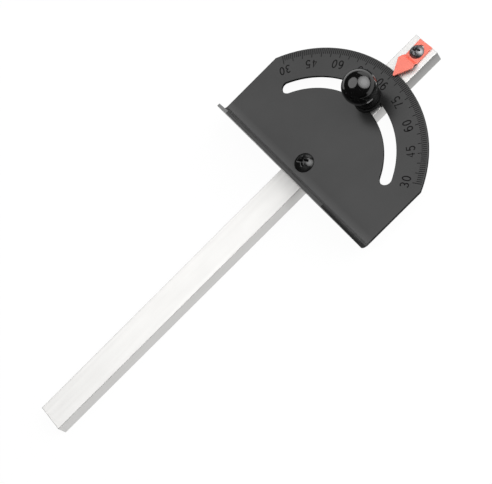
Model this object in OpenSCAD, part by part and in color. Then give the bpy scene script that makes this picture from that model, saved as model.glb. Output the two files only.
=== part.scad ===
// Miter gauge for a table saw or band saw.
// A flat bar slides in the table's slot. A head folded from one steel sheet turns on it
// about the pivot screw, a ball knob clamps it through an arc slot, and a bent pointer
// reads the scale on the head's rim.
// The origin is on the pivot axis at the bar's underside. The bar runs along Y with the
// pointer at +Y, and the fence's working face looks towards -Y.

/* [Bar] */
// Width of the bar, three quarters of an inch
bar_w = 19.05; // [12:0.05:25]
// Height of the bar, three eighths of an inch
bar_h = 9.525; // [7.5:0.025:12.5]
// Length of the bar ahead of the pivot
bar_front = 219.5; // [120:0.5:350]
// Length of the bar past the pointer's base, none where they end flush
bar_past_pointer = 0.3; // [0:0.1:40]
// Chamfer on the bar's edges
bar_chamfer = 0.2; // [0.1:0.05:1]

/* [Head] */
// Thickness of the folded steel sheet
sheet_t = 2; // [1.2:0.1:3]
// Radius of the scale's rim about the pivot
head_r = 77; // [70:0.5:79]
// Width of the head between its straight sides
head_w = 137.6; // [115:0.2:139]
// Distance of the fence's working face ahead of the pivot
fence_reach = 12.5; // [11:0.1:20]
// Height of the fence above the bar's top
fence_h = 31.4; // [22:0.2:45]
// Height of the fence at its two ends, below its sloping corners
fence_end_h = 10.5; // [6:0.1:20]
// Length of the fence's level top edge
fence_top_w = 91.6; // [78:0.2:110]
// Inside radius of the fold
bend_r = 2.4; // [0.6:0.1:3]

/* [Clamping slot] */
// Radius of the slot's centre line about the pivot
slot_r = 53.7; // [45:0.1:60]
// Width of the slot
slot_w = 8; // [7.6:0.1:9]
// Turn of the head each way from square, where the stud meets the slot's end
turn_limit = 61.6; // [30:0.2:64]

/* [Facing holes] */
// Distance between the two holes in the fence for a wooden facing
facing_pitch = 60; // [40:1:70]
// Diameter of the facing holes
facing_d = 5.5; // [4:0.1:6.5]

/* [Pivot] */
// Thread diameter of the pivot screw
pivot_d = 6; // [5:0.5:8]
// Diameter of the pivot screw's pan head
pivot_head_d = 12.5; // [10.5:0.1:14]
// Height of the pivot screw's pan head
pivot_head_h = 3.7; // [3.2:0.1:5]
// Wall of the bush that the head turns on
bush_wall = 1; // [0.6:0.1:1.2]

/* [Clamp knob] */
// Diameter of the ball
ball_d = 22; // [18:0.1:26]
// Height of the ball's centre above the bar's top
ball_height = 18.8; // [18:0.1:24]
// Diameter of the knob's neck at its narrowest
neck_d = 10; // [9:0.1:13]
// Diameter of the knob's foot
foot_d = 15.6; // [14.5:0.1:17]
// Thickness of the foot's rim
foot_t = 1.2; // [0.6:0.1:2]
// Thread diameter of the stud
stud_d = 6; // [5:0.5:6.5]
// Distance of the stud behind the slot's centre line, within its play in the slot
stud_off = 0.5; // [0:0.1:0.6]
// Depth of the stud in the knob
stud_grip = 12; // [8:0.5:14]
// Diameter of the flat washer under the knob
washer_d = 18; // [17.2:0.1:22]
// Thickness of the flat washer
washer_t = 1.6; // [1:0.1:2.5]

/* [Pointer] */
// Thickness of the pointer's sheet
pointer_t = 1; // [0.6:0.1:1.2]
// Width of the pointer's base strip
pointer_w = 10.3; // [9.2:0.1:12]
// Length of the pointer's base strip
strip_l = 12.9; // [12:0.1:20]
// Greatest width of the arrow
arrow_w = 12.3; // [11:0.1:14]
// Reach of the arrow's tip in over the scale's rim
tip_reach = 2.5; // [1:0.1:5]
// Length of the arrow from its tip to its shoulders
arrow_l = 13.1; // [11:0.1:14.4]
// Length of the shoulders behind the arrow's barbs
barb_l = 2.6; // [1:0.1:4]
// Width of the arrow's blunt tip
tip_w = 0.8; // [0.3:0.1:1.5]
// Offset of the pointer's centre line from its long hole
strip_off = 0.6; // [-1:0.1:1]
// Angle at which the pointer is set about its screw
pointer_set = 2.2; // [-3:0.1:3]
// Clearance between the arrow and the scale below it
arrow_gap = 0.4; // [0.3:0.1:1.5]
// Distance of the pointer's screw from the foot of the ramp
screw_set = 5.3; // [5:0.1:6]
// Thread diameter of the pointer's screw
pointer_screw_d = 4; // [3:0.5:4.5]
// Diameter of the pointer screw's pan head
pointer_head_d = 9.2; // [7:0.1:9.6]
// Height of the pointer screw's pan head
pointer_head_h = 2.7; // [2.2:0.1:3.2]
// Travel of the pointer under its loosened screw
pointer_travel = 3; // [1:0.1:3.5]

/* [Fits] */
// Radial clearance between the bush, the pivot screw and the head
running_gap = 0.05; // [0.02:0.01:0.09]
// Radial clearance of a screw in its tapped hole
thread_gap = 0.04; // [0.02:0.01:0.09]
// Height of the bush above the sheet, which leaves the head free to turn
end_float = 0.1; // [0.05:0.01:0.3]
// Radial clearance of a screw in a clearance hole
hole_gap = 0.3; // [0.2:0.05:0.6]
// Distance between a screw's tip and the bar's underside
tip_margin = 1; // [0.3:0.1:2]

/* [Hidden] */
$fn = 96;
// Overlap that makes a cut run clear of the faces it opens through
cut = 1;
// Fold
bend_out = bend_r + sheet_t;
fold_y = -fence_reach + bend_out;
slot_play = (slot_w - stud_d) / 2;
end_play = sqrt(pow(slot_play, 2) - pow(stud_off, 2));
slot_angle = turn_limit - end_play / slot_r * 180 / PI;
// Heights above the table slot's floor
head_top = bar_h + sheet_t;
washer_top = head_top + washer_t;
pointer_top = bar_h + pointer_t;
arrow_rise = sheet_t + arrow_gap;
bush_h = sheet_t + end_float;
bush_d = pivot_d + 2 * (running_gap + bush_wall);
// Places along the bar
stud_y = slot_r + stud_off;
tip_r = head_r - tip_reach;
shoulder_y = tip_r + arrow_l;
barb_y = shoulder_y - barb_l;
ramp_l = arrow_rise * 0.8;
ramp_foot_y = shoulder_y + ramp_l;
screw_y = ramp_foot_y + screw_set;
pointer_end = ramp_foot_y + strip_l;
bar_rear = pointer_end + bar_past_pointer;
// Knob profile
ball_r = ball_d / 2;
ball_z = bar_h + ball_height;
neck_r = neck_d / 2;
flare_r = (foot_d - neck_d) / 2;

// Pan head with a cross recess, standing on z = 0
module pan_head(d, h) {
  rim = h * 0.3;
  dome = h - rim;
  flat = d * 0.21;
  bulge = dome / 2 + (pow(d / 2, 2) - pow(flat, 2)) / (2 * dome);
  recess_w = d * 0.13;
  recess_l = d * 0.58;
  recess_z = h * 0.6;
  difference() {
    intersection() {
      cylinder(d = d, h = h);
      translate([0, 0, rim + dome - bulge]) sphere(r = bulge);
    }
    intersection() {
      for (a = [0, 90])
        rotate([0, 0, a + 45])
          translate([-recess_l / 2, -recess_w / 2, h - recess_z])
            cube([recess_l, recess_w, recess_z + cut]);
      translate([0, 0, h - recess_z])
        cylinder(d1 = recess_w, d2 = recess_l + recess_w, h = recess_z + cut);
    }
  }
}

// Bar blank: three chamfered prisms leave a chamfer on all twelve edges
module chamfered_rect(w, h, c) {
  polygon([[c, 0], [w - c, 0], [w, c], [w, h - c], [w - c, h], [c, h], [0, h - c], [0, c]]);
}

module bar_blank() {
  length = bar_front + bar_rear;
  translate([-bar_w / 2, -bar_front, 0])
    intersection() {
      translate([0, length, 0]) rotate([90, 0, 0])
        linear_extrude(length) chamfered_rect(bar_w, bar_h, bar_chamfer);
      linear_extrude(bar_h) chamfered_rect(bar_w, length, bar_chamfer);
      rotate([90, 0, 90])
        linear_extrude(bar_w) chamfered_rect(length, bar_h, bar_chamfer);
    }
}

module tapped_hole(y, d) {
  translate([0, y, -cut]) cylinder(d = d + 2 * thread_gap, h = bar_h + 2 * cut);
}

module miter_bar() {
  color("gainsboro") difference() {
    bar_blank();
    tapped_hole(0, pivot_d);
    tapped_hole(stud_y, stud_d);
    tapped_hole(screw_y, pointer_screw_d);
  }
}

// Level part of the head: the scale's round rim cut off by two straight sides
module head_plate() {
  linear_extrude(sheet_t)
    intersection() {
      circle(r = head_r, $fn = 180);
      translate([-head_w / 2, fold_y]) square([head_w, head_r - fold_y + cut]);
    }
}

// Cross section of the fold and the upright, Y to the right and Z up
module fold_section() {
  translate([-fence_reach, bend_out]) square([sheet_t, fence_h - bend_out]);
  translate([fold_y, bend_out])
    intersection() {
      difference() {
        circle(r = bend_out);
        circle(r = bend_r);
      }
      translate([-bend_out, -bend_out]) square(bend_out);
    }
  translate([fold_y - 0.01, 0]) square([bend_out, sheet_t]);
}

// Front view of the fence, with its two long sloping corners
module fence_outline() {
  end_x = head_w / 2;
  top_x = fence_top_w / 2;
  polygon([[-end_x, 0], [end_x, 0], [end_x, fence_end_h], [top_x, fence_h],
           [-top_x, fence_h], [-end_x, fence_end_h]]);
}

module head_fence() {
  intersection() {
    translate([-head_w / 2, 0, 0]) rotate([90, 0, 90])
      linear_extrude(head_w) fold_section();
    translate([0, fold_y + 2 * bend_out, 0]) rotate([90, 0, 0])
      linear_extrude(4 * bend_out + sheet_t) fence_outline();
  }
}

// Slot on a circle about the pivot, with round ends
module arc_slot() {
  translate([0, 0, -cut]) {
    rotate([0, 0, 90 - slot_angle])
      rotate_extrude(angle = 2 * slot_angle, $fn = 180)
        translate([slot_r - slot_w / 2, 0]) square([slot_w, sheet_t + 2 * cut]);
    for (a = [-slot_angle, slot_angle])
      rotate([0, 0, a]) translate([0, slot_r, 0])
        cylinder(d = slot_w, h = sheet_t + 2 * cut);
  }
}

module protractor_head() {
  facing_z = (fence_h + bend_out) / 2;
  color("#3c3c3e") translate([0, 0, bar_h]) difference() {
    union() {
      head_plate();
      head_fence();
    }
    arc_slot();
    translate([0, 0, -cut]) cylinder(d = bush_d + 2 * running_gap, h = sheet_t + 2 * cut);
    for (x = [-facing_pitch / 2, facing_pitch / 2])
      translate([x, cut + sheet_t - fence_reach, facing_z]) rotate([90, 0, 0])
        cylinder(d = facing_d, h = sheet_t + 2 * cut);
  }
}

module pivot_screw() {
  shank_z = tip_margin;
  head_z = bar_h + bush_h;
  color("#1d1d1f") {
    translate([0, 0, head_z]) pan_head(pivot_head_d, pivot_head_h);
    translate([0, 0, shank_z]) cylinder(d = pivot_d, h = head_z - shank_z);
  }
}

module pivot_bush() {
  color("silver") translate([0, 0, bar_h]) difference() {
    cylinder(d = bush_d, h = bush_h);
    translate([0, 0, -cut]) cylinder(d = pivot_d + 2 * running_gap, h = bush_h + 2 * cut);
  }
}

// Half section of the ball knob: a foot that flares in to a neck, and the ball above it
module knob_section() {
  neck_top = ball_z - ball_r * 0.7;
  flare_z = washer_top + foot_t + flare_r;
  intersection() {
    union() {
      translate([0, ball_z]) circle(r = ball_r);
      translate([0, washer_top]) square([foot_d / 2, foot_t]);
      difference() {
        translate([0, washer_top]) square([foot_d / 2, foot_t + flare_r]);
        translate([foot_d / 2, flare_z]) circle(r = flare_r);
      }
      translate([0, washer_top]) square([neck_r, neck_top - washer_top]);
    }
    translate([0, washer_top]) square([ball_r + cut, 2 * ball_z]);
  }
}

module clamp_knob() {
  color("#111113") translate([0, stud_y, 0]) difference() {
    rotate_extrude() knob_section();
    translate([0, 0, washer_top - cut]) cylinder(d = stud_d + 2 * thread_gap, h = stud_grip + cut);
  }
}

module clamp_stud() {
  color("silver") translate([0, stud_y, tip_margin])
    cylinder(d = stud_d, h = washer_top + stud_grip - tip_margin);
}

module clamp_washer() {
  color("#242426") translate([0, stud_y, head_top]) difference() {
    cylinder(d = washer_d, h = washer_t);
    translate([0, 0, -cut]) cylinder(d = stud_d + 2 * hole_gap, h = washer_t + 2 * cut);
  }
}

// Side view of the pointer: base strip, ramp and raised arrow, Y to the right and Z up
module pointer_side() {
  polygon([[tip_r - cut, arrow_rise], [shoulder_y, arrow_rise], [ramp_foot_y, 0],
           [pointer_end, 0], [pointer_end, pointer_t], [ramp_foot_y, pointer_t],
           [shoulder_y, arrow_rise + pointer_t], [tip_r - cut, arrow_rise + pointer_t]]);
}

// Plan of the pointer, seen from above
module pointer_plan() {
  half = pointer_w / 2;
  polygon([[tip_w / 2, tip_r], [arrow_w / 2, barb_y], [half, shoulder_y],
           [half, pointer_end], [-half, pointer_end], [-half, shoulder_y],
           [-arrow_w / 2, barb_y], [-tip_w / 2, tip_r]]);
}

module pointer_hole() {
  hole_d = pointer_screw_d + 2 * hole_gap;
  for (y = [0, pointer_travel])
    translate([0, screw_y + y, -cut]) cylinder(d = hole_d, h = pointer_t + 2 * cut);
  translate([-hole_d / 2, screw_y, -cut]) cube([hole_d, pointer_travel, pointer_t + 2 * cut]);
}

// The pointer as it is set: turned about its screw, off centre on its long hole
module pointer() {
  color("tomato")
    translate([0, screw_y, bar_h]) rotate([0, 0, pointer_set]) translate([0, -screw_y, 0])
      difference() {
        translate([strip_off, 0, 0]) intersection() {
          translate([-arrow_w / 2, 0, 0]) rotate([90, 0, 90])
            linear_extrude(arrow_w) pointer_side();
          translate([0, 0, -cut]) linear_extrude(arrow_rise + pointer_t + 2 * cut) pointer_plan();
        }
        pointer_hole();
      }
}

module pointer_screw() {
  shank_z = bar_h / 3;
  color("#2b2b2e") translate([0, screw_y, 0]) {
    translate([0, 0, pointer_top]) pan_head(pointer_head_d, pointer_head_h);
    translate([0, 0, shank_z]) cylinder(d = pointer_screw_d, h = pointer_top - shank_z);
  }
}

miter_bar();
protractor_head();
pivot_screw();
pivot_bush();
clamp_knob();
clamp_stud();
clamp_washer();
pointer();
pointer_screw();
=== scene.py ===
"""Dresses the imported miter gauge: brushed bar, black head with its stamped scale, glossy
ball knob, screws with cross recesses and a red pointer, on a plain white floor.

All sizes are in metres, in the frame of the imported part: the origin is on the pivot axis at
the bar's underside, +Y runs along the bar towards the pointer and +Z is up.
"""

import bpy
import numpy as np
from mathutils import Matrix, Vector


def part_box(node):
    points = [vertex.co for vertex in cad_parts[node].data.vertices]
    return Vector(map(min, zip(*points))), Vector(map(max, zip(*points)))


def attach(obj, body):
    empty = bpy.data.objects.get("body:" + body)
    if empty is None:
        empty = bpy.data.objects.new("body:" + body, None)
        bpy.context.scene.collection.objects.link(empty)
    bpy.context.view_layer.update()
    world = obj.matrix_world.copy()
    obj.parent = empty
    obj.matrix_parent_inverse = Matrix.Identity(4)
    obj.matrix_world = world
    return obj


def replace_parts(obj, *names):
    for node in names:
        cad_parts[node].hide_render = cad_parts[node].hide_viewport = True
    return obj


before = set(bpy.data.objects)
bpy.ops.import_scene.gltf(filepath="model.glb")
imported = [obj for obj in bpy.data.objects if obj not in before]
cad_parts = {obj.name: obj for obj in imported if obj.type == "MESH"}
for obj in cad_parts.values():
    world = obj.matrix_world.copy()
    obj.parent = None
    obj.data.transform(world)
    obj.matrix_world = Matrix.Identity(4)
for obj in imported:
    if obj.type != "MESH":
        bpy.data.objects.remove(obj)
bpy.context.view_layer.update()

MM = 0.001

# Camera: found from the photograph's straight edges, arcs and scale marks
CAMERA_AT = Vector((0.4371, -0.0258, 0.7409))
CAMERA_AIM = Vector((0.0094, -0.0585, 0.0095))
CAMERA_ROLL = np.radians(-48.63)
LENS = 103.0
SENSOR = 36.0

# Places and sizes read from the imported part
HEAD_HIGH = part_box("protractor_head")[1]
KNOB_LOW, KNOB_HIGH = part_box("clamp_knob")
WASHER_LOW, WASHER_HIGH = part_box("clamp_washer")
STUD_LOW, STUD_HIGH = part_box("clamp_stud")
PLATE_TOP = WASHER_LOW.z
RIM_R = HEAD_HIGH.y

# Ball knob
KNOB_FOOT_R = 7.8 * MM
KNOB_FOOT_T = 1.2 * MM
KNOB_NECK_R = 5.0 * MM
KNOB_BLEND_R = 1.3 * MM
KNOB_BEAD_R = 0.35 * MM
DULL_BELOW = 17.0 * MM
GLOSS_ABOVE = 18.5 * MM

# Painted highlight: a paler strip along the foot of the fold, standing in for the light that the
# concave bend reflects: from, full from, full to, to
FOLD_HIGHLIGHT_STRIP = (-10.3 * MM, -9.2 * MM, -7.5 * MM, -3.5 * MM)

# Stamped scale on the head
SCALE_LIMIT = 60
TICK_OUTER = RIM_R - 0.7 * MM
TICK_SHORT = RIM_R - 4.2 * MM
TICK_LONG = RIM_R - 6.3 * MM
TICK_W = 0.45 * MM
NUMERAL_R = RIM_R - 10.7 * MM
NUMERAL_H = 5.1 * MM
NUMERAL_W = 2.5 * MM
NUMERAL_PITCH = 4.2 * MM
NUMERAL_STROKE = 0.78 * MM
MARK_RISE = 0.03 * MM
MARK_DEPTH = 0.2 * MM
# Angle of each number from +Y, as read off the photograph
NUMERALS = {-60: "30", -45: "45", -29.8: "60", -14.6: "75", -0.5: "90",
            13.9: "75", 29.1: "60", 43.8: "45", 60.2: "30"}


# Mesh builders

def mesh_object(name, points, faces, material, smooth=True):
    """A mesh object from an array of points and a list of faces."""
    mesh = bpy.data.meshes.new(name)
    mesh.from_pydata([tuple(p) for p in points], [], faces)
    mesh.polygons.foreach_set("use_smooth", [smooth] * len(mesh.polygons))
    mesh.materials.append(material)
    mesh.update()
    piece = bpy.data.objects.new(name, mesh)
    bpy.context.scene.collection.objects.link(piece)
    return piece


def grid_faces(rows, columns, wrap_rows=False, wrap_columns=False):
    """Quads of a grid of points stored row by row, joined round where it wraps."""
    i = np.arange(rows if wrap_rows else rows - 1)
    j = np.arange(columns if wrap_columns else columns - 1)
    i, j = [a.ravel() for a in np.meshgrid(i, j, indexing="ij")]
    i2, j2 = (i + 1) % rows, (j + 1) % columns
    corners = (i * columns + j, i2 * columns + j, i2 * columns + j2, i * columns + j2)
    return np.stack(corners, axis=1)


def turned_solid(name, radius, height, centre, material, sides=128, offset=None):
    """A turned solid: the profile (radius, height), from its top pole to its bottom pole,
    is carried round a vertical axis through centre. Point (v, t) is
    (radius[v] cos t, radius[v] sin t, height[v] + offset(x, y, v))."""
    turn = np.linspace(0, 2 * np.pi, sides, endpoint=False)
    r, t = np.meshgrid(radius[1:-1], turn, indexing="ij")
    z = np.repeat(height[1:-1, None], sides, axis=1)
    x, y = r * np.cos(t), r * np.sin(t)
    if offset is not None:
        z = z + offset(x, y, z)
    rings = np.stack([x, y, z], axis=-1).reshape(-1, 3)
    top = np.array([[0, 0, height[0]]])
    if offset is not None:
        top[0, 2] += float(offset(np.zeros(1), np.zeros(1), top[:, 2])[0])
    bottom = np.array([[0, 0, height[-1]]])
    points = np.concatenate([rings, top, bottom]) + np.array(centre)
    rows = len(radius) - 2
    faces = grid_faces(rows, sides, wrap_columns=True).tolist()
    j = np.arange(sides)
    j2 = (j + 1) % sides
    pole = np.full(sides, rows * sides)
    last = (rows - 1) * sides
    faces += np.stack([pole, j, j2], axis=1).tolist()
    faces += np.stack([pole + 1, last + j2, last + j], axis=1).tolist()
    return mesh_object(name, points, faces, material)


def turned_ring(name, radius, height, centre, material, sides=128):
    """A turned ring: a closed profile (radius, height), which runs clockwise with the radius to
    the right and the height up, is carried round a vertical axis through centre."""
    turn = np.linspace(0, 2 * np.pi, sides, endpoint=False)
    r, t = np.meshgrid(radius, turn, indexing="ij")
    z = np.repeat(height[:, None], sides, axis=1)
    points = np.stack([r * np.cos(t), r * np.sin(t), z], axis=-1).reshape(-1, 3)
    faces = grid_faces(len(radius), sides, wrap_rows=True, wrap_columns=True).tolist()
    return mesh_object(name, points + np.array(centre), faces, material)


def arc(centre, radius, start, end, steps):
    """Points on a circle, from the start angle to the end angle in degrees."""
    a = np.radians(np.linspace(start, end, steps))
    return np.stack([centre[0] + radius * np.cos(a), centre[1] + radius * np.sin(a)], axis=1)


def ribbon(path, width, low, high):
    """A flat bar carried along a level path: at each point the path's unit normal n gives the
    two sides p + n w/2 and p - n w/2, each at two heights. Returns its points and faces."""
    along = np.gradient(path, axis=0)
    along /= np.linalg.norm(along, axis=1, keepdims=True)
    normal = np.stack([-along[:, 1], along[:, 0]], axis=1) * width / 2
    left, right = path + normal, path - normal
    corners = [(left, low), (right, low), (right, high), (left, high)]
    section = [np.column_stack([side, np.full(len(path), z)]) for side, z in corners]
    points = np.stack(section, axis=1).reshape(-1, 3)
    faces = grid_faces(len(path), 4, wrap_columns=True).tolist()
    last = 4 * (len(path) - 1)
    faces += [[0, 1, 2, 3], [last + 3, last + 2, last + 1, last]]
    return points, faces


def joined(parts):
    """Points and faces of several (points, faces) pairs as one."""
    points, faces, start = [], [], 0
    for part_points, part_faces in parts:
        points.append(part_points)
        faces += [[start + k for k in face] for face in part_faces]
        start += len(part_points)
    return np.concatenate(points), faces


# Materials

def new_material(name):
    """A node material with its shader; returns the material, its nodes, links and shader."""
    material = bpy.data.materials.new(name)
    material.use_nodes = True
    tree = material.node_tree
    return material, tree.nodes, tree.links, tree.nodes["Principled BSDF"]


def set_shader(shader, colour, roughness, metallic=0.0, specular=0.5):
    """Uniform values, set on the shader's own sockets."""
    shader.inputs["Base Color"].default_value = (*colour, 1)
    shader.inputs["Roughness"].default_value = roughness
    shader.inputs["Metallic"].default_value = metallic
    shader.inputs["Specular IOR Level"].default_value = specular


def noise(nodes, links, scale, stretch=(1, 1, 1), detail=3.0):
    """A noise pattern on Object coordinates, stretched along the axes with a small factor."""
    place = nodes.new("ShaderNodeTexCoord")
    mapping = nodes.new("ShaderNodeMapping")
    mapping.inputs["Scale"].default_value = stretch
    texture = nodes.new("ShaderNodeTexNoise")
    texture.inputs["Scale"].default_value = scale
    texture.inputs["Detail"].default_value = detail
    links.new(place.outputs["Object"], mapping.inputs["Vector"])
    links.new(mapping.outputs["Vector"], texture.inputs["Vector"])
    return texture.outputs["Fac"]


def between(nodes, links, factor, low, high, from_low=0.3, from_high=0.7):
    """Maps a pattern to the range from low to high."""
    ramp = nodes.new("ShaderNodeMapRange")
    ramp.inputs["From Min"].default_value = from_low
    ramp.inputs["From Max"].default_value = from_high
    ramp.inputs["To Min"].default_value = low
    ramp.inputs["To Max"].default_value = high
    links.new(factor, ramp.inputs["Value"])
    return ramp.outputs["Result"]


def tint(nodes, links, factor, dark, light):
    """Mixes two colours by a pattern from 0 to 1; each is three numbers or a socket."""
    mix = nodes.new("ShaderNodeMix")
    mix.data_type = "RGBA"
    for place, colour in ((6, dark), (7, light)):
        if isinstance(colour, tuple):
            mix.inputs[place].default_value = (*colour, 1)
        else:
            links.new(colour, mix.inputs[place])
    links.new(factor, mix.inputs["Factor"])
    return mix.outputs[2]


def combine(nodes, links, operation, first, second):
    """A maths node; each of its two inputs is a socket or a number."""
    node = nodes.new("ShaderNodeMath")
    node.operation = operation
    for place, value in enumerate((first, second)):
        if isinstance(value, (int, float)):
            node.inputs[place].default_value = value
        else:
            links.new(value, node.inputs[place])
    return node.outputs[0]


def relief(nodes, links, shader, height, depth, edge=0.0):
    """Bump of the given depth in metres, over edges that are rounded by the radius edge."""
    bump = nodes.new("ShaderNodeBump")
    bump.inputs["Strength"].default_value = 1.0
    bump.inputs["Distance"].default_value = depth
    links.new(height, bump.inputs["Height"])
    if edge:
        bevel = nodes.new("ShaderNodeBevel")
        bevel.samples = 6
        bevel.inputs["Radius"].default_value = edge
        links.new(bevel.outputs["Normal"], bump.inputs["Normal"])
    links.new(bump.outputs["Normal"], shader.inputs["Normal"])


def drawn_aluminium():
    """Pale drawn bar stock: fine lines along Y, and a faint mottle."""
    material, nodes, links, shader = new_material("drawn_aluminium")
    set_shader(shader, (0.645, 0.64, 0.63), 0.5, metallic=1.0)
    lines = noise(nodes, links, 900, (1, 0.02, 1), detail=4)
    mottle = noise(nodes, links, 120, (1, 0.4, 1), detail=3)
    links.new(tint(nodes, links, between(nodes, links, mottle, 0, 1), (0.635, 0.63, 0.62),
                   (0.655, 0.65, 0.64)), shader.inputs["Base Color"])
    links.new(between(nodes, links, lines, 0.48, 0.54), shader.inputs["Roughness"])
    relief(nodes, links, shader, lines, 0.003 * MM, edge=0.35 * MM)
    return material


def sheared_edges(nodes, links):
    """1 on the sheet's cut edges round the level plate, which are duller than its rolled
    faces: the faces whose normal lies level, less the two sides of the fence."""
    place = nodes.new("ShaderNodeTexCoord")
    normal = nodes.new("ShaderNodeSeparateXYZ")
    point = nodes.new("ShaderNodeSeparateXYZ")
    links.new(place.outputs["Normal"], normal.inputs[0])
    links.new(place.outputs["Object"], point.inputs[0])
    rise = combine(nodes, links, "ABSOLUTE", normal.outputs["Z"], 0)
    level = combine(nodes, links, "LESS_THAN", rise, 0.3)
    ahead = combine(nodes, links, "ABSOLUTE", normal.outputs["Y"], 0)
    sideways = combine(nodes, links, "LESS_THAN", ahead, 0.9)
    rearward = combine(nodes, links, "GREATER_THAN", point.outputs["Y"], 0)
    return combine(nodes, links, "MULTIPLY", level,
                   combine(nodes, links, "MAXIMUM", sideways, rearward))


def painted_fold_highlight(nodes, links):
    """1 along the foot of the fold, where a paler colour is painted as a highlight, standing in
    for the light that the concave bend reflects.
    """
    place = nodes.new("ShaderNodeTexCoord")
    point = nodes.new("ShaderNodeSeparateXYZ")
    links.new(place.outputs["Object"], point.inputs[0])
    start, full, fade, end = FOLD_HIGHLIGHT_STRIP
    ahead = between(nodes, links, point.outputs["Y"], 0, 1, start, full)
    behind = between(nodes, links, point.outputs["Y"], 1, 0, fade, end)
    return combine(nodes, links, "MINIMUM", ahead, behind)


def black_coating():
    """Satin black coating on the folded sheet, slightly uneven, with a painted highlight: a paler
    strip along the foot of the fold.
    """
    material, nodes, links, shader = new_material("black_coating")
    set_shader(shader, (0.009, 0.009, 0.009), 0.30, specular=0.40)
    cloud = noise(nodes, links, 45, detail=4)
    grain = noise(nodes, links, 1500, detail=2)
    plain = tint(nodes, links, between(nodes, links, cloud, 0, 1), (0.007, 0.007, 0.007),
                 (0.011, 0.011, 0.011))
    # Painted highlight: the paler colour along the foot of the fold stands in for light reflected
    # in the bend.
    links.new(tint(nodes, links, painted_fold_highlight(nodes, links), plain, (0.032, 0.032, 0.032)),
              shader.inputs["Base Color"])
    sheared = sheared_edges(nodes, links)
    links.new(between(nodes, links, sheared, 0.30, 0.70, 0, 1), shader.inputs["Roughness"])
    links.new(between(nodes, links, sheared, 0.40, 0.18, 0, 1),
              shader.inputs["Specular IOR Level"])
    relief(nodes, links, shader, grain, 0.004 * MM, edge=0.4 * MM)
    return material


def painted_groove_shade():
    """Painted shade for the stamped marks: a dark, dull finish on the raised strips, standing in
    for the shade inside the stamped grooves.
    """
    material, nodes, links, shader = new_material("painted_groove_shade")
    set_shader(shader, (0.004, 0.004, 0.004), 0.7, specular=0.1)
    grain = noise(nodes, links, 2500, detail=2)
    links.new(between(nodes, links, grain, 0.6, 0.8), shader.inputs["Roughness"])
    return material


def knob_gloss():
    """Black moulded knob: a glossy ball, and a duller neck and foot."""
    material, nodes, links, shader = new_material("knob_gloss")
    set_shader(shader, (0.002, 0.002, 0.002), 0.1, specular=0.66)
    wave = noise(nodes, links, 60, detail=2)
    place = nodes.new("ShaderNodeTexCoord")
    point = nodes.new("ShaderNodeSeparateXYZ")
    links.new(place.outputs["Object"], point.inputs[0])
    dull = between(nodes, links, point.outputs["Z"], 0.45, 0.0, DULL_BELOW, GLOSS_ABOVE)
    gloss = between(nodes, links, wave, 0.09, 0.13)
    links.new(combine(nodes, links, "ADD", gloss, dull), shader.inputs["Roughness"])
    links.new(between(nodes, links, dull, 0.66, 0.08, 0, 0.45),
              shader.inputs["Specular IOR Level"])
    relief(nodes, links, shader, wave, 0.01 * MM)
    return material


def screw_steel(name, colour, roughness, metallic, specular=0.5):
    """Blackened screw steel with a faint turned grain."""
    material, nodes, links, shader = new_material(name)
    set_shader(shader, colour, roughness, metallic, specular)
    grain = noise(nodes, links, 900, detail=3)
    links.new(between(nodes, links, grain, roughness * 0.8, roughness * 1.3),
              shader.inputs["Roughness"])
    relief(nodes, links, shader, grain, 0.004 * MM)
    return material


def red_enamel():
    """Red enamel on the bent pointer, with painted shade: a deeper red on the sloping part between
    its bends, picked by which way its faces turn.
    """
    material, nodes, links, shader = new_material("red_enamel")
    set_shader(shader, (0.57, 0.125, 0.088), 0.45)
    cloud = noise(nodes, links, 250, detail=3)
    level = tint(nodes, links, between(nodes, links, cloud, 0, 1), (0.55, 0.115, 0.080),
                 (0.59, 0.135, 0.096))
    # Painted shade: faces that slope up between the bends get a deeper red, for how the light
    # falls on them.
    place = nodes.new("ShaderNodeTexCoord")
    normal = nodes.new("ShaderNodeSeparateXYZ")
    links.new(place.outputs["Normal"], normal.inputs[0])
    lean = combine(nodes, links, "ABSOLUTE", normal.outputs["Y"], 0)
    upward = combine(nodes, links, "GREATER_THAN", normal.outputs["Z"], 0.3)
    painted_slope_shade = combine(nodes, links, "MULTIPLY", between(nodes, links, lean, 0, 1, 0.15, 0.4), upward)
    links.new(tint(nodes, links, painted_slope_shade, level, (0.55, 0.080, 0.048)),
              shader.inputs["Base Color"])
    relief(nodes, links, shader, cloud, 0.01 * MM, edge=0.15 * MM)
    return material


def bright_zinc():
    """Bright plated steel of the stud and the bush."""
    material, nodes, links, shader = new_material("bright_zinc")
    set_shader(shader, (0.62, 0.62, 0.64), 0.3, metallic=1.0)
    grain = noise(nodes, links, 700, detail=3)
    links.new(between(nodes, links, grain, 0.24, 0.4), shader.inputs["Roughness"])
    return material


# Pieces

def dress(node, material):
    """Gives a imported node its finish."""
    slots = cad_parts[node].data.materials
    slots.clear()
    slots.append(material)


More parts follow.
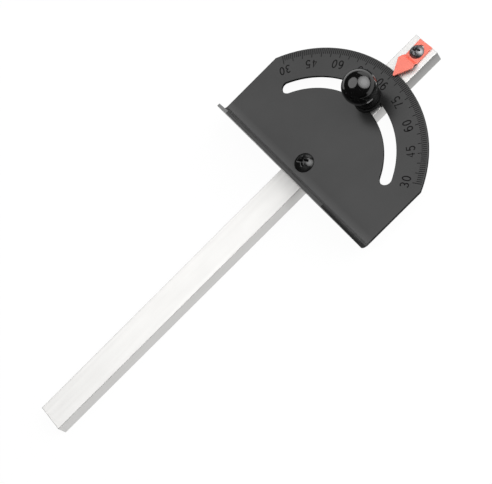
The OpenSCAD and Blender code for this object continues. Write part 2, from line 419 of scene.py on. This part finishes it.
def pan_head_screw(name, node, head_r, head_h, shank_r, pitch, material, turn):
    """A pan head screw. The head's height is a spherical cap with a flat middle on a short
    rim, less a cross recess whose depth falls off with the distance from each arm's centre
    line; the shank's radius waves with the height, as turned grooves do."""
    low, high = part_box(node)
    centre = ((low.x + high.x) / 2, (low.y + high.y) / 2, 0)
    seat = high.z - head_h
    rim_h = head_h * 0.3
    flat_r = head_r * 0.42
    dome_h = head_h - rim_h
    cap_r = dome_h / 2 + (head_r ** 2 - flat_r ** 2) / (2 * dome_h)
    cap_z = high.z - cap_r
    arm_w, arm_l, depth = head_r * 0.24, head_r * 0.60, head_h * 0.62

    def recess(x, y, z):
        u = x * np.cos(turn) + y * np.sin(turn)
        v = y * np.cos(turn) - x * np.sin(turn)
        on_head = z > seat + rim_h * 0.5
        cross = np.zeros_like(x)
        for a, b in ((u, v), (v, u)):
            half = arm_w / 2 * (1 - 0.35 * np.abs(a) / arm_l)
            side = np.clip((half - np.abs(b)) / (0.12 * head_r) + 0.5, 0, 1)
            end = np.clip((arm_l - np.abs(a)) / (0.5 * arm_l), 0, 1)
            cross = np.maximum(cross, side * end ** 0.7)
        return -depth * cross * on_head

    top_r = np.linspace(0, head_r * 0.985, 72)
    top_z = np.minimum(cap_z + np.sqrt(cap_r ** 2 - top_r ** 2), high.z)
    edge_z = top_z[-1]
    lip = arc((head_r * 0.965, edge_z - head_r * 0.035), head_r * 0.035, 60, 0, 5)
    wall = np.array([[head_r, seat + 0.03 * head_r], [head_r * 0.97, seat]])
    groove_z = np.arange(seat - 0.4 * MM, low.z + 0.5 * MM, -pitch / 6)
    groove_r = shank_r - 0.25 * pitch * (0.5 - 0.5 * np.cos(2 * np.pi * groove_z / pitch))
    shank = np.column_stack([groove_r, groove_z])
    tip = np.array([[shank_r - 0.4 * MM, low.z], [0, low.z]])
    neck = np.array([[shank_r, seat], [shank_r, seat - 0.3 * MM]])
    profile = np.concatenate([np.column_stack([top_r, top_z]), lip, wall, neck, shank, tip])
    piece = turned_solid(name, profile[:, 0], profile[:, 1], centre, material, 160, recess)
    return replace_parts(piece, node)


def ball_knob():
    """The moulded knob: a ball whose lower part runs into a waisted neck and a round foot.
    The profile is the ball's arc, a blend, the foot's concave flare and a rounded rim."""
    centre = ((KNOB_LOW.x + KNOB_HIGH.x) / 2, (KNOB_LOW.y + KNOB_HIGH.y) / 2, 0)
    ball_r = (KNOB_HIGH.x - KNOB_LOW.x) / 2
    ball_z = KNOB_HIGH.z - ball_r
    foot_r, foot_t, neck_r = KNOB_FOOT_R, KNOB_FOOT_T, KNOB_NECK_R
    flare = foot_r - neck_r
    foot_z = KNOB_LOW.z
    blend, bead_r = KNOB_BLEND_R, KNOB_BEAD_R
    reach = np.sqrt((ball_r + blend) ** 2 - (neck_r + blend) ** 2)
    meet = np.degrees(np.arctan2(reach, neck_r + blend))
    ball = arc((0, ball_z), ball_r, 90, -meet, 90)
    ball[0, 0] = 0
    fillet = arc((neck_r + blend, ball_z - reach), blend, 180 - meet, 180, 8)
    cone = arc((foot_r, foot_z + foot_t + flare), flare, 180, 270, 16)
    bead = arc((foot_r - bead_r, foot_z + foot_t - bead_r), bead_r, 90, 0, 6)
    base = np.array([[foot_r, foot_z + 0.15 * MM], [foot_r - 0.15 * MM, foot_z], [0, foot_z]])
    cone = cone[cone[:, 0] < foot_r - 0.4 * MM]
    profile = np.concatenate([ball, fillet, cone, bead, base])
    piece = turned_solid("clamp_knob_ball", profile[:, 0], profile[:, 1], centre,
                         knob_gloss(), 160)
    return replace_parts(piece, "clamp_knob")


def flat_washer(material):
    """The washer under the knob: a rectangle with rounded outer corners, turned. It clears the
    sheet by a hundredth of a millimetre, so that the two faces don't coincide."""
    centre = ((WASHER_LOW.x + WASHER_HIGH.x) / 2, (WASHER_LOW.y + WASHER_HIGH.y) / 2, 0)
    outer = (WASHER_HIGH.x - WASHER_LOW.x) / 2
    inner = (STUD_HIGH.x - STUD_LOW.x) / 2 + 0.3 * MM
    low, high, soft = WASHER_LOW.z + 0.01 * MM, WASHER_HIGH.z, 0.3 * MM
    top = arc((outer - soft, high - soft), soft, 90, 0, 6)
    bottom = arc((outer - soft, low + soft), soft, 0, -90, 6)
    bore = np.array([[inner, low], [inner, high]])
    profile = np.concatenate([top, bottom, bore])
    piece = turned_ring("clamp_washer_disc", profile[:, 0], profile[:, 1], centre, material)
    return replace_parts(piece, "clamp_washer")


def polar(radius, degrees):
    """Level point at a radius from the pivot, at an angle from +Y that grows towards +X."""
    a = np.radians(degrees)
    return np.stack([radius * np.sin(a), radius * np.cos(a)], axis=-1)


def scale_ticks(material):
    """One stamped mark for each degree, and a longer one every five."""
    parts = []
    for degree in range(-SCALE_LIMIT, SCALE_LIMIT + 1):
        inner = TICK_LONG if degree % 5 == 0 else TICK_SHORT
        path = np.array([polar(TICK_OUTER, degree), polar(inner, degree)])
        parts.append(ribbon(path, TICK_W, PLATE_TOP - MARK_DEPTH, PLATE_TOP + MARK_RISE))
    points, faces = joined(parts)
    return mesh_object("scale_ticks", points, faces, material, smooth=False)


def digit_strokes(digit):
    """Centre lines of one digit in a box from -0.5 to 0.5 across and from 0 to 1 up. Bowls are
    arcs of a unit circle, squeezed to half the digit's width and height; 9 is 6 turned half
    round."""
    if digit == "0":
        t = np.linspace(0, 2 * np.pi, 33)
        return [np.stack([0.5 * np.cos(t), 0.5 + 0.5 * np.sin(t)], axis=1)]
    if digit == "3":
        upper = np.array([0, 0.75]) + arc((0, 0), 1, 150, -90, 17) * [0.44, 0.25]
        lower = np.array([0, 0.25]) + arc((0, 0), 1, 90, -150, 17) * [0.5, 0.25]
        return [np.concatenate([upper, lower[1:]])]
    if digit == "4":
        return [np.array([[0.22, 0.0], [0.22, 1.0], [-0.5, 0.28], [0.5, 0.28]])]
    if digit == "5":
        bowl = np.array([0, 0.31]) + arc((0, 0), 1, 130, -150, 19) * [0.5, 0.31]
        return [np.concatenate([[[0.42, 1.0], [-0.36, 1.0], [-0.42, 0.5]], bowl])]
    if digit == "6":
        bowl = np.array([0, 0.31]) + arc((0, 0), 1, 180, -180, 29) * [0.5, 0.31]
        stem = np.array([0.0, 0.5]) + arc((0, 0), 1, 55, 172, 13) * [0.5, 0.5]
        return [np.concatenate([stem, bowl])]
    if digit == "7":
        return [np.array([[-0.5, 1.0], [0.5, 1.0], [0.1, 0.45], [-0.12, 0.0]])]
    return [np.array([0.0, 1.0]) - stroke for stroke in digit_strokes("6")]


def scale_numerals(material):
    """The numbers along the scale, with their tops towards the pivot. A point (u, v) of a digit
    goes to centre + u across + v inward, where inward runs from the rim to the pivot."""
    parts = []
    for degrees, number in NUMERALS.items():
        centre = polar(NUMERAL_R, degrees)
        inward = -polar(1, degrees)
        across = np.array([inward[1], -inward[0]])
        for place, digit in enumerate(number):
            shift = (place - 0.5) * NUMERAL_PITCH
            for stroke in digit_strokes(digit):
                u = stroke[:, :1] * NUMERAL_W + shift
                v = (stroke[:, 1:] - 0.5) * NUMERAL_H
                path = centre + u * across + v * inward
                parts.append(ribbon(path, NUMERAL_STROKE, PLATE_TOP - MARK_DEPTH,
                                    PLATE_TOP + MARK_RISE * 0.8))
    points, faces = joined(parts)
    return mesh_object("scale_numerals", points, faces, material, smooth=False)


# Stage: lights, floor and room, placed from what the photographed ball mirrors

FLOOR_HALF = 6.0
LIGHT_AIM = Vector((0, 0.02, 0.02))
KNOB_Y = 0.054
ROOM_LIT = 0.10
ROOM_MIRRORED = 0.03
SHOWN_WHITE = 0.96
REAR = (0.384, 0.618, 0.680)


def photo_camera():
    """The photograph's camera: it looks from CAMERA_AT to CAMERA_AIM, rolled about its axis."""
    ahead = (CAMERA_AIM - CAMERA_AT).normalized()
    side = ahead.cross(Vector((0, 0, 1))).normalized()
    upward = side.cross(ahead)
    right = side * np.cos(CAMERA_ROLL) + upward * np.sin(CAMERA_ROLL)
    up = upward * np.cos(CAMERA_ROLL) - side * np.sin(CAMERA_ROLL)
    turn = Matrix((right, up, -ahead)).transposed()
    data = bpy.data.cameras.new("photo_camera")
    data.lens = LENS
    data.sensor_width = SENSOR
    data.clip_start = 0.05
    camera = bpy.data.objects.new("photo_camera", data)
    camera.matrix_world = Matrix.Translation(CAMERA_AT) @ turn.to_4x4()
    bpy.context.scene.collection.objects.link(camera)
    bpy.context.scene.camera = camera


def soft_light(name, direction, distance, width, height, strength):
    """An oval area light that faces the head. Its power gives the radiance called strength;
    width and height are the half axes, across and up."""
    data = bpy.data.lights.new(name, "AREA")
    data.shape = "ELLIPSE"
    data.size = 2 * width
    data.size_y = 2 * height
    data.energy = strength * np.pi * np.pi * width * height
    light = bpy.data.objects.new(name, data)
    towards = Vector(direction).normalized()
    light.location = LIGHT_AIM + towards * distance
    light.rotation_mode = "QUATERNION"
    light.rotation_quaternion = towards.to_track_quat("Z", "Y")
    bpy.context.scene.collection.objects.link(light)
    return light


def shown_rays(nodes, links):
    """1 for camera and transmission rays."""
    path = nodes.new("ShaderNodeLightPath")
    return combine(nodes, links, "MAXIMUM", path.outputs["Is Camera Ray"],
                   path.outputs["Is Transmission Ray"])


def painted_mirror_floor(nodes, links):
    """How white mirrors show the floor, as painted light and shade: less white behind the knob,
    hardly at all under the head beside the bar, and dark past the head on the camera's side, as
    the photographed knob and bar mirror it."""
    place = nodes.new("ShaderNodeTexCoord")
    point = nodes.new("ShaderNodeSeparateXYZ")
    links.new(place.outputs["Object"], point.inputs[0])
    past_side = between(nodes, links, point.outputs["X"], 0, 1, 0.085, 0.13)
    ahead = between(nodes, links, point.outputs["Y"], 1, 0, 0.04, 0.08)
    gone = combine(nodes, links, "MULTIPLY", past_side, ahead)
    distance = nodes.new("ShaderNodeVectorMath")
    distance.operation = "DISTANCE"
    distance.inputs[1].default_value = (0, KNOB_Y, 0)
    links.new(place.outputs["Object"], distance.inputs[0])
    far = between(nodes, links, distance.outputs["Value"], 0, 1, 0.066, 0.082)
    along = between(nodes, links, point.outputs["Y"], 0.9, 0.57, 0.062, 0.075)
    aside = combine(nodes, links, "ABSOLUTE", point.outputs["X"], 0)
    close = between(nodes, links, aside, 1, 0.1, 0.015, 0.020)
    near = combine(nodes, links, "MULTIPLY", along, close)
    white = combine(nodes, links, "MAXIMUM", far, near)
    return combine(nodes, links, "MULTIPLY", combine(nodes, links, "SUBTRACT", 1, gone), white)


def white_floor():
    """A wide white floor. Rays that show it get most of its white from its own colour, and the
    rest from the light that reaches it, so that the object's shadow stays. Mirrors see only its
    glow, a painted light and shade whose level is set by place."""
    half = FLOOR_HALF
    points = np.array([[-half, -half, 0], [half, -half, 0], [half, half, 0], [-half, half, 0]])
    material = bpy.data.materials.new("white_floor")
    material.use_nodes = True
    nodes, links = material.node_tree.nodes, material.node_tree.links
    nodes.remove(nodes["Principled BSDF"])
    matt = nodes.new("ShaderNodeBsdfDiffuse")
    matt.inputs["Color"].default_value = (0.88, 0.88, 0.88, 1)
    glow = nodes.new("ShaderNodeEmission")
    blend = nodes.new("ShaderNodeMixShader")
    seen = combine(nodes, links, "MULTIPLY", shown_rays(nodes, links), SHOWN_WHITE)
    mirrored = nodes.new("ShaderNodeLightPath").outputs["Is Glossy Ray"]
    links.new(combine(nodes, links, "MAXIMUM", seen, mirrored), blend.inputs[0])
    # Painted light and shade: for mirrors the floor glows, dimmed by place where shade is painted.
    dark = combine(nodes, links, "SUBTRACT", 1, painted_mirror_floor(nodes, links))
    level = combine(nodes, links, "MULTIPLY", mirrored, dark)
    links.new(combine(nodes, links, "SUBTRACT", 1, level), glow.inputs["Strength"])
    links.new(matt.outputs[0], blend.inputs[1])
    links.new(glow.outputs[0], blend.inputs[2])
    links.new(blend.outputs[0], nodes["Material Output"].inputs["Surface"])
    floor = mesh_object("floor", points, [[0, 1, 2, 3]], material, smooth=False)


def studio_world(strength, mirrored):
    """An even grey room, darker where it is mirrored, which the camera sees as white."""
    world = bpy.data.worlds.new("studio")
    world.use_nodes = True
    nodes, links = world.node_tree.nodes, world.node_tree.links
    backdrop = nodes["Background"]
    path = nodes.new("ShaderNodeLightPath")
    room = between(nodes, links, path.outputs["Is Glossy Ray"], strength, mirrored, 0, 1)
    level = combine(nodes, links, "MAXIMUM", room, shown_rays(nodes, links))
    links.new(level, backdrop.inputs["Strength"])
    backdrop.inputs["Color"].default_value = (1, 1, 1, 1)
    bpy.context.scene.world = world


photo_camera()
white_floor()
studio_world(ROOM_LIT, ROOM_MIRRORED)
soft_light("rear_core", REAR, 0.75, 0.25, 0.25, 1.1)
soft_light("rear_glow", REAR, 0.76, 0.42, 0.42, 1.2)
soft_light("rear_edge", REAR, 0.77, 0.58, 0.58, 2.9)
soft_light("top_softbox", (-0.36, -0.20, 0.91), 0.9, 0.55, 0.50, 2.2)
soft_light("low_wall", (-0.33, 0.907, 0.26), 0.9, 0.50, 0.22, 1.0)

bpy.context.scene.view_settings.view_transform = "Standard"

coating = black_coating()
# Painted shade: the scale's marks are dark strips standing in for the shade in the stamped
# grooves.
groove_shade_finish = painted_groove_shade()
zinc = bright_zinc()
black_steel = screw_steel("black_screw_steel", (0.006, 0.006, 0.006), 0.2, 0.0)
dull_steel = screw_steel("dull_black_steel", (0.006, 0.006, 0.006), 0.5, 0.0, 0.1)
gunmetal = screw_steel("gunmetal_steel", (0.15, 0.15, 0.155), 0.36, 1.0)

dress("miter_bar", drawn_aluminium())
dress("protractor_head", coating)
dress("pointer", red_enamel())
dress("pivot_bush", zinc)
dress("clamp_stud", zinc)

pivot = pan_head_screw("pivot_pan_screw", "pivot_screw", 6.25 * MM, 3.7 * MM, 3.0 * MM,
                       1.0 * MM, black_steel, np.radians(45))
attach(pivot, "bar")

setter = pan_head_screw("pointer_pan_screw", "pointer_screw", 4.6 * MM, 2.7 * MM, 2.0 * MM,
                        0.7 * MM, gunmetal, np.radians(38))
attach(setter, "pointer_pivot")

knob = ball_knob()
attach(knob, "knob")

disc = flat_washer(dull_steel)
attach(disc, "washer")

# The dark strips of the scale carry painted shade for the stamped grooves.
for marks in (scale_ticks(groove_shade_finish), scale_numerals(groove_shade_finish)):
    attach(marks, "head")
